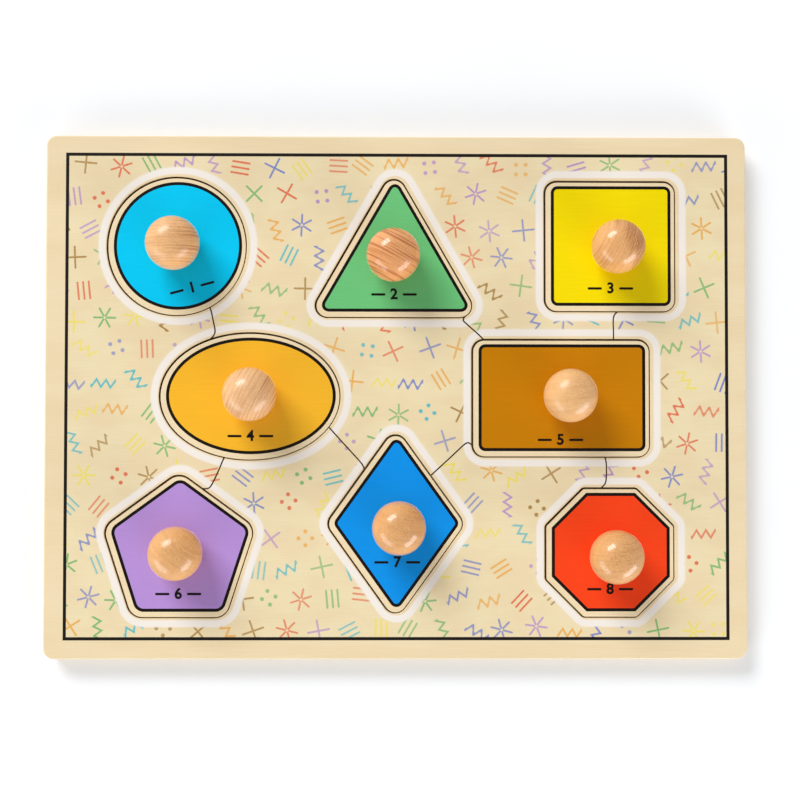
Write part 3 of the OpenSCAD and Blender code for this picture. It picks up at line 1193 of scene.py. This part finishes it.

# %% [markdown]
# No two knobs show the same grain, because each was turned with the rod's fibres lying another way.
# Some show bold growth rings as stripes, some fine slanting lines, and some only short dark pores.
# So one wood finish takes the fibre's turn in degrees, the spacing of the rings in millimetres,
# their sway and strength, and how much darker the rings and fibres are painted towards the right of
# the knob as shade. It also takes the pores, the roughness of the varnish and a tint. A clear gloss
# varnish lies over it as a coat, and a faint sheen gives the pale rim that polished wood has.

# %% Woods of the knobs
KNOB_WOODS = {
    "circle": dict(turn=1, spacing=0.75, sway=0.3, rings=0.6, painted_shade=0.09, pores=0.15,
                   varnish=0.30, tint=rgb(231, 179, 120)),
    "triangle": dict(turn=-29, spacing=1.5, sway=0.2, rings=1.5, painted_shade=0.03, pores=0.1,
                     varnish=0.14, tint=rgb(225, 157, 94)),
    "square": dict(turn=66, spacing=0.6, sway=0.3, rings=0.75, painted_shade=0.30, pores=0.3,
                   varnish=0.15, tint=rgb(225, 168, 102)),
    "oval": dict(turn=63, spacing=0.65, sway=0.3, rings=0.7, painted_shade=0.05, pores=0.3,
                 varnish=0.24, tint=rgb(233, 184, 131)),
    "rectangle": dict(turn=6, spacing=2.2, sway=1.2, rings=0.2, painted_shade=0.07, pores=0.1,
                      varnish=0.28, tint=rgb(226, 176, 116)),
    "pentagon": dict(turn=-38, spacing=2.0, sway=0.8, rings=0.22, painted_shade=0.04, pores=0.5,
                     varnish=0.22, tint=rgb(222, 165, 101)),
    "diamond": dict(turn=-12, spacing=3.0, sway=1.2, rings=0.22, painted_shade=0.05, pores=0.5,
                    varnish=0.15, tint=rgb(218, 161, 98)),
    "octagon": dict(turn=4, spacing=1.6, sway=0.8, rings=0.25, painted_shade=0.05, pores=0.9,
                    varnish=0.15, tint=rgb(218, 161, 98)),
}
RING_SHARES = (0.60, 0.40, 0.25, 1)
RING_L = 40
RING_TILT = 0.08
BEND_L = 16
BEND_W = 12
ROD_FIBRE_L = 9
ROD_FIBRE_W = 0.3
ROD_PORE_L = 2.4
ROD_PORE_W = 0.28
SHEEN = rgb(255, 246, 226)


def varnish_over(shader, roughness):
    """A coat of clear gloss varnish, and the pale rim of polished wood."""
    shader.inputs["Coat Weight"].default_value = 0.72
    shader.inputs["Coat Roughness"].default_value = roughness
    shader.inputs["Coat IOR"].default_value = 1.5
    shader.inputs["Sheen Weight"].default_value = 0.7
    shader.inputs["Sheen Roughness"].default_value = 0.2
    shader.inputs["Sheen Tint"].default_value = SHEEN


def make_knob_wood(shape, turn, spacing, sway, rings, painted_shade, pores, varnish, tint):
    finish, (x, y, z), shader = new_finish(shape + "_knob_wood")
    low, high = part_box(shape + "_knob")
    middle = (low + high) / 2 / MM
    x, y, z = x - middle.x, y - middle.y, z - middle.z
    sine, cosine = math.sin(math.radians(turn)), math.cos(math.radians(turn))
    along, across = x * cosine + y * sine, y * cosine - x * sine
    bend = (noise(along / BEND_L, across / BEND_W, z / BEND_W, detail=1) - 0.5) * sway
    stretch = SHAPES.index(shape) * 5 + 3
    bent = across + z * RING_TILT + bend
    ring = noise(bent / spacing, along / RING_L, stretch, detail=1)
    # Painted shade: the rings and fibres are drawn darker towards the right of every knob, and a
    # little towards the back, the same way on all knobs whatever their grain.
    side = (x * painted_shade + y * painted_shade * 0.4).most(0) + 0.8
    fibre = noise(along / ROD_FIBRE_L, across / ROD_FIBRE_W, z / ROD_FIBRE_W, detail=3)
    spots = noise(along / ROD_PORE_L, across / ROD_PORE_W, z / ROD_PORE_W, detail=1)
    pore = spots.below(0.36, 0.08) * pores
    dark = [level * share for level, share in zip(tint, RING_SHARES)]
    colour = paint(toned(tint, 1.08, 0.02), dark, ring.above(0.54, 0.16) * side * rings * 0.75)
    colour = paint(colour, dark, fibre.above(0.50, 0.24) * side * 0.35)
    colour = paint(colour, toned(dark, 0.6), pore * 0.7)
    varnish_over(shader, varnish)
    return finish_with(finish, shader, colour, 0.5, fibre - pore, depth=0.02, gloss=0.2)


knob_woods = {shape: make_knob_wood(shape, **wood) for shape, wood in KNOB_WOODS.items()}

# %% [markdown]
# Each plate gets a copy of the knob, with its own mesh. The copies all look alike in shape, as
# knobs from one lathe do, and only the wood tells them apart.

# %% Knobs on their plates
def set_knob(shape):
    """Copies the knob, with its own mesh, on to its plate."""
    low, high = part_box(shape + "_knob")
    only(knob_pattern)
    bpy.ops.object.duplicate()
    knob = bpy.context.object
    knob.location = ((low.x + high.x) / 2, (low.y + high.y) / 2, low.z)
    knob.data.materials.clear()
    knob.data.materials.append(knob_woods[shape])
    finish_piece(knob, shape + "_turned_knob", shape + "_piece", "knob_wood", shape + "_knob")


for shape in SHAPES:
    set_knob(shape)
bpy.data.objects.remove(knob_pattern)

# %% [markdown]
# Each shape carries a plain number between two short rules, printed below its knob. A number is
# made as text and turned into a mesh. It gets a trace of thickness, so that it lies on the ink
# and doesn't flicker with it. A rule is a flat bar with rounded ends.

# %% Number and rules
NUMBER_SIZE = 8.4 * MM
NUMBER_WEIGHT = 0.25 * MM
NUMBER_T = 0.03 * MM
RULE_L = 8 * MM
RULE_W = 1.3 * MM
RULE_REACH = 9 * MM
RULE_END_R = RULE_W * 0.4


def add_digit(number):
    """A number as lettering with a trace of thickness, made a mesh."""
    fresh()
    bpy.ops.object.text_add()
    text = bpy.context.object
    text.data.body = str(number)
    text.data.size = NUMBER_SIZE
    text.data.offset = NUMBER_WEIGHT
    text.data.extrude = NUMBER_T
    text.data.align_x = "CENTER"
    text.data.align_y = "CENTER"
    bpy.ops.object.convert(target="MESH")
    return bpy.context.object


def add_rule(side):
    """A short rule with round ends, to the left (-1) or the right (1) of the number."""
    fresh()
    bpy.ops.mesh.primitive_cube_add(size=1, location=(side * RULE_REACH, 0, 0))
    rule = bpy.context.object
    rule.scale = (RULE_L, RULE_W, 2 * NUMBER_T)
    bpy.ops.object.transform_apply(location=True, scale=True)
    bpy.ops.object.mode_set(mode="EDIT")
    pick("EDGE", lambda edge: height_of(edge) > NUMBER_T)
    bpy.ops.mesh.bevel(offset=RULE_END_R, segments=4, affect="EDGES")
    fresh()
    return rule


print("numbers", round(NUMBER_SIZE / MM, 1), "mm high")

# %% [markdown]
# The number and its two rules are joined into one piece, which is turned and laid in its place.
# The disc was put back slightly turned, so its number slants. The places are in millimetres from
# the board's middle, and the slant is in degrees.

# %% Numbers
NUMBER_PLACES = {
    "circle": (-116.5, 61.9, 15), "triangle": (-1.4, 58.3, 0), "square": (122.4, 62.0, 0),
    "oval": (-83.0, -22.6, 0), "rectangle": (93.6, -24.6, 0), "pentagon": (-123.5, -112.1, 0),
    "diamond": (0.6, -94.2, 0), "octagon": (121.7, -109.4, 0),
}


def print_number(shape, number):
    x, y, slant = NUMBER_PLACES[shape]
    digit, rules = add_digit(number), [add_rule(side) for side in (-1, 1)]
    only(digit)
    for rule in rules:
        rule.select_set(True)
    bpy.ops.object.join()
    whole = bpy.context.object
    whole.rotation_euler.z = math.radians(slant)
    whole.location = (x * MM, y * MM, FACE_Z + NUMBER_T)
    whole.data.materials.clear()
    whole.data.materials.append(black_ink)
    finish_piece(whole, shape + "_number", shape + "_piece", SHAPE_SLOTS[shape])


for number, shape in enumerate(SHAPES, start=1):
    print_number(shape, number)

# %% [markdown]
# The screws are right as they are in the construction, and only show from below when a shape is
# lifted out. They keep their solids and get a bright zinc finish with faint turning marks.

# %% Screws
ZINC_PALE = rgb(216, 218, 222)
ZINC_DARK = rgb(186, 190, 198)
TURNING_W = 0.6
TURNING_H = 0.12


def make_zinc():
    finish, (x, y, z), shader = new_finish("zinc_plate")
    turning = noise(x / TURNING_W, y / TURNING_W, z / TURNING_H)
    shader.inputs["Metallic"].default_value = 1
    colour = paint(ZINC_PALE, ZINC_DARK, turning)
    return finish_with(finish, shader, colour, turning * 0.2 + 0.24, turning, depth=0.01)


zinc = make_zinc()
for shape in SHAPES:
    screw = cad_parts[shape + "_screw"]
    screw.data.materials.clear()
    screw.data.materials.append(zinc)
print(len(SHAPES), "screws in", zinc.name)

# %% [markdown]
# The puzzle lies on a plain white table. More lamp light would make the table white, but would
# bleach the wood too. So the table glows a little, only for the rays that the camera or a mirror
# sees, and it still takes the board's soft shadow.

# %% Floor
FLOOR_W = 2.2
FLOOR_COLOUR = (0.90, 0.92, 0.945, 1)
FLOOR_GLOW = 0.15
WHITE = (1, 1, 1, 1)


def where_seen(tree, elsewhere, seen):
    """One value for rays that the camera, a mirror or a clear thing sees, and one for the rest."""
    rays = tree.nodes.new("ShaderNodeLightPath")
    total = rays.outputs["Is Camera Ray"]
    for kind in ("Is Glossy Ray", "Is Transmission Ray"):
        either = tree.nodes.new("ShaderNodeMath")
        either.operation = "MAXIMUM"
        tree.links.new(total, either.inputs[0])
        tree.links.new(rays.outputs[kind], either.inputs[1])
        total = either.outputs[0]
    level = tree.nodes.new("ShaderNodeMapRange")
    level.inputs["To Min"].default_value = elsewhere
    level.inputs["To Max"].default_value = seen
    tree.links.new(total, level.inputs["Value"])
    return level.outputs[0]


def make_floor():
    fresh()
    bpy.ops.mesh.primitive_plane_add(size=FLOOR_W, location=(0, 0, board_low.z))
    floor = bpy.context.object
    floor.name = "table"
    finish = bpy.data.materials.new("white_table")
    finish.use_nodes = True
    tree = finish.node_tree
    shader = tree.nodes["Principled BSDF"]
    shader.inputs["Base Color"].default_value = FLOOR_COLOUR
    shader.inputs["Roughness"].default_value = 0.9
    shader.inputs["Specular IOR Level"].default_value = 0
    shader.inputs["Emission Color"].default_value = WHITE
    tree.links.new(where_seen(tree, 0, FLOOR_GLOW), shader.inputs["Emission Strength"])
    floor.data.materials.append(finish)


make_floor()
print("table", FLOOR_W, "m wide")

# %% [markdown]
# One large softbox stands far off at the upper left, so its light falls evenly on the board and
# the knobs throw soft shadows to the lower right. Two long low ones stand nearer, at the lower
# right and the lower left. They do little for the board, but the varnished knobs mirror them.

# %% Lights
def aim(azimuth, elevation):
    """The way towards a light, from its two angles in degrees."""
    turn, rise = math.radians(azimuth), math.radians(elevation)
    return Vector((math.cos(rise) * math.cos(turn), math.cos(rise) * math.sin(turn), math.sin(rise)))


def add_softbox(name, azimuth, elevation, distance, width, height, power):
    """A flat light that faces the board from that direction, in degrees, metres and watts."""
    way = aim(azimuth, elevation)
    fresh()
    bpy.ops.object.light_add(type="AREA", location=way * distance)
    lamp = bpy.context.object
    lamp.name = name
    lamp.rotation_euler = way.to_track_quat("Z", "Y").to_euler()
    lamp.data.shape = "RECTANGLE"
    lamp.data.size = width
    lamp.data.size_y = height
    lamp.data.energy = power
    print(name, power, "watts")


add_softbox("key_light", azimuth=123, elevation=30, distance=6, width=3.5, height=2.1, power=318)
add_softbox("right_fill", azimuth=-48, elevation=10.5, distance=2.4, width=2.0, height=1.0, power=45)
add_softbox("left_fill", azimuth=222, elevation=10.5, distance=2.4, width=2.2, height=1.0, power=29)

# %% [markdown]
# A pale sky fills the shadows. Where the camera or a mirror looks past the table, it is white.
# The Standard view shows each colour about as it was written.

# %% Sky
SKY_STRENGTH = 0.36


def make_sky():
    sky = bpy.data.worlds.new("sky")
    sky.use_nodes = True
    bpy.context.scene.world = sky
    tree = sky.node_tree
    ground = tree.nodes["Background"]
    ground.inputs["Color"].default_value = WHITE
    tree.links.new(where_seen(tree, SKY_STRENGTH, 1), ground.inputs["Strength"])


make_sky()
bpy.context.scene.view_settings.view_transform = "Standard"
print("sky of strength", SKY_STRENGTH)

# %% [markdown]
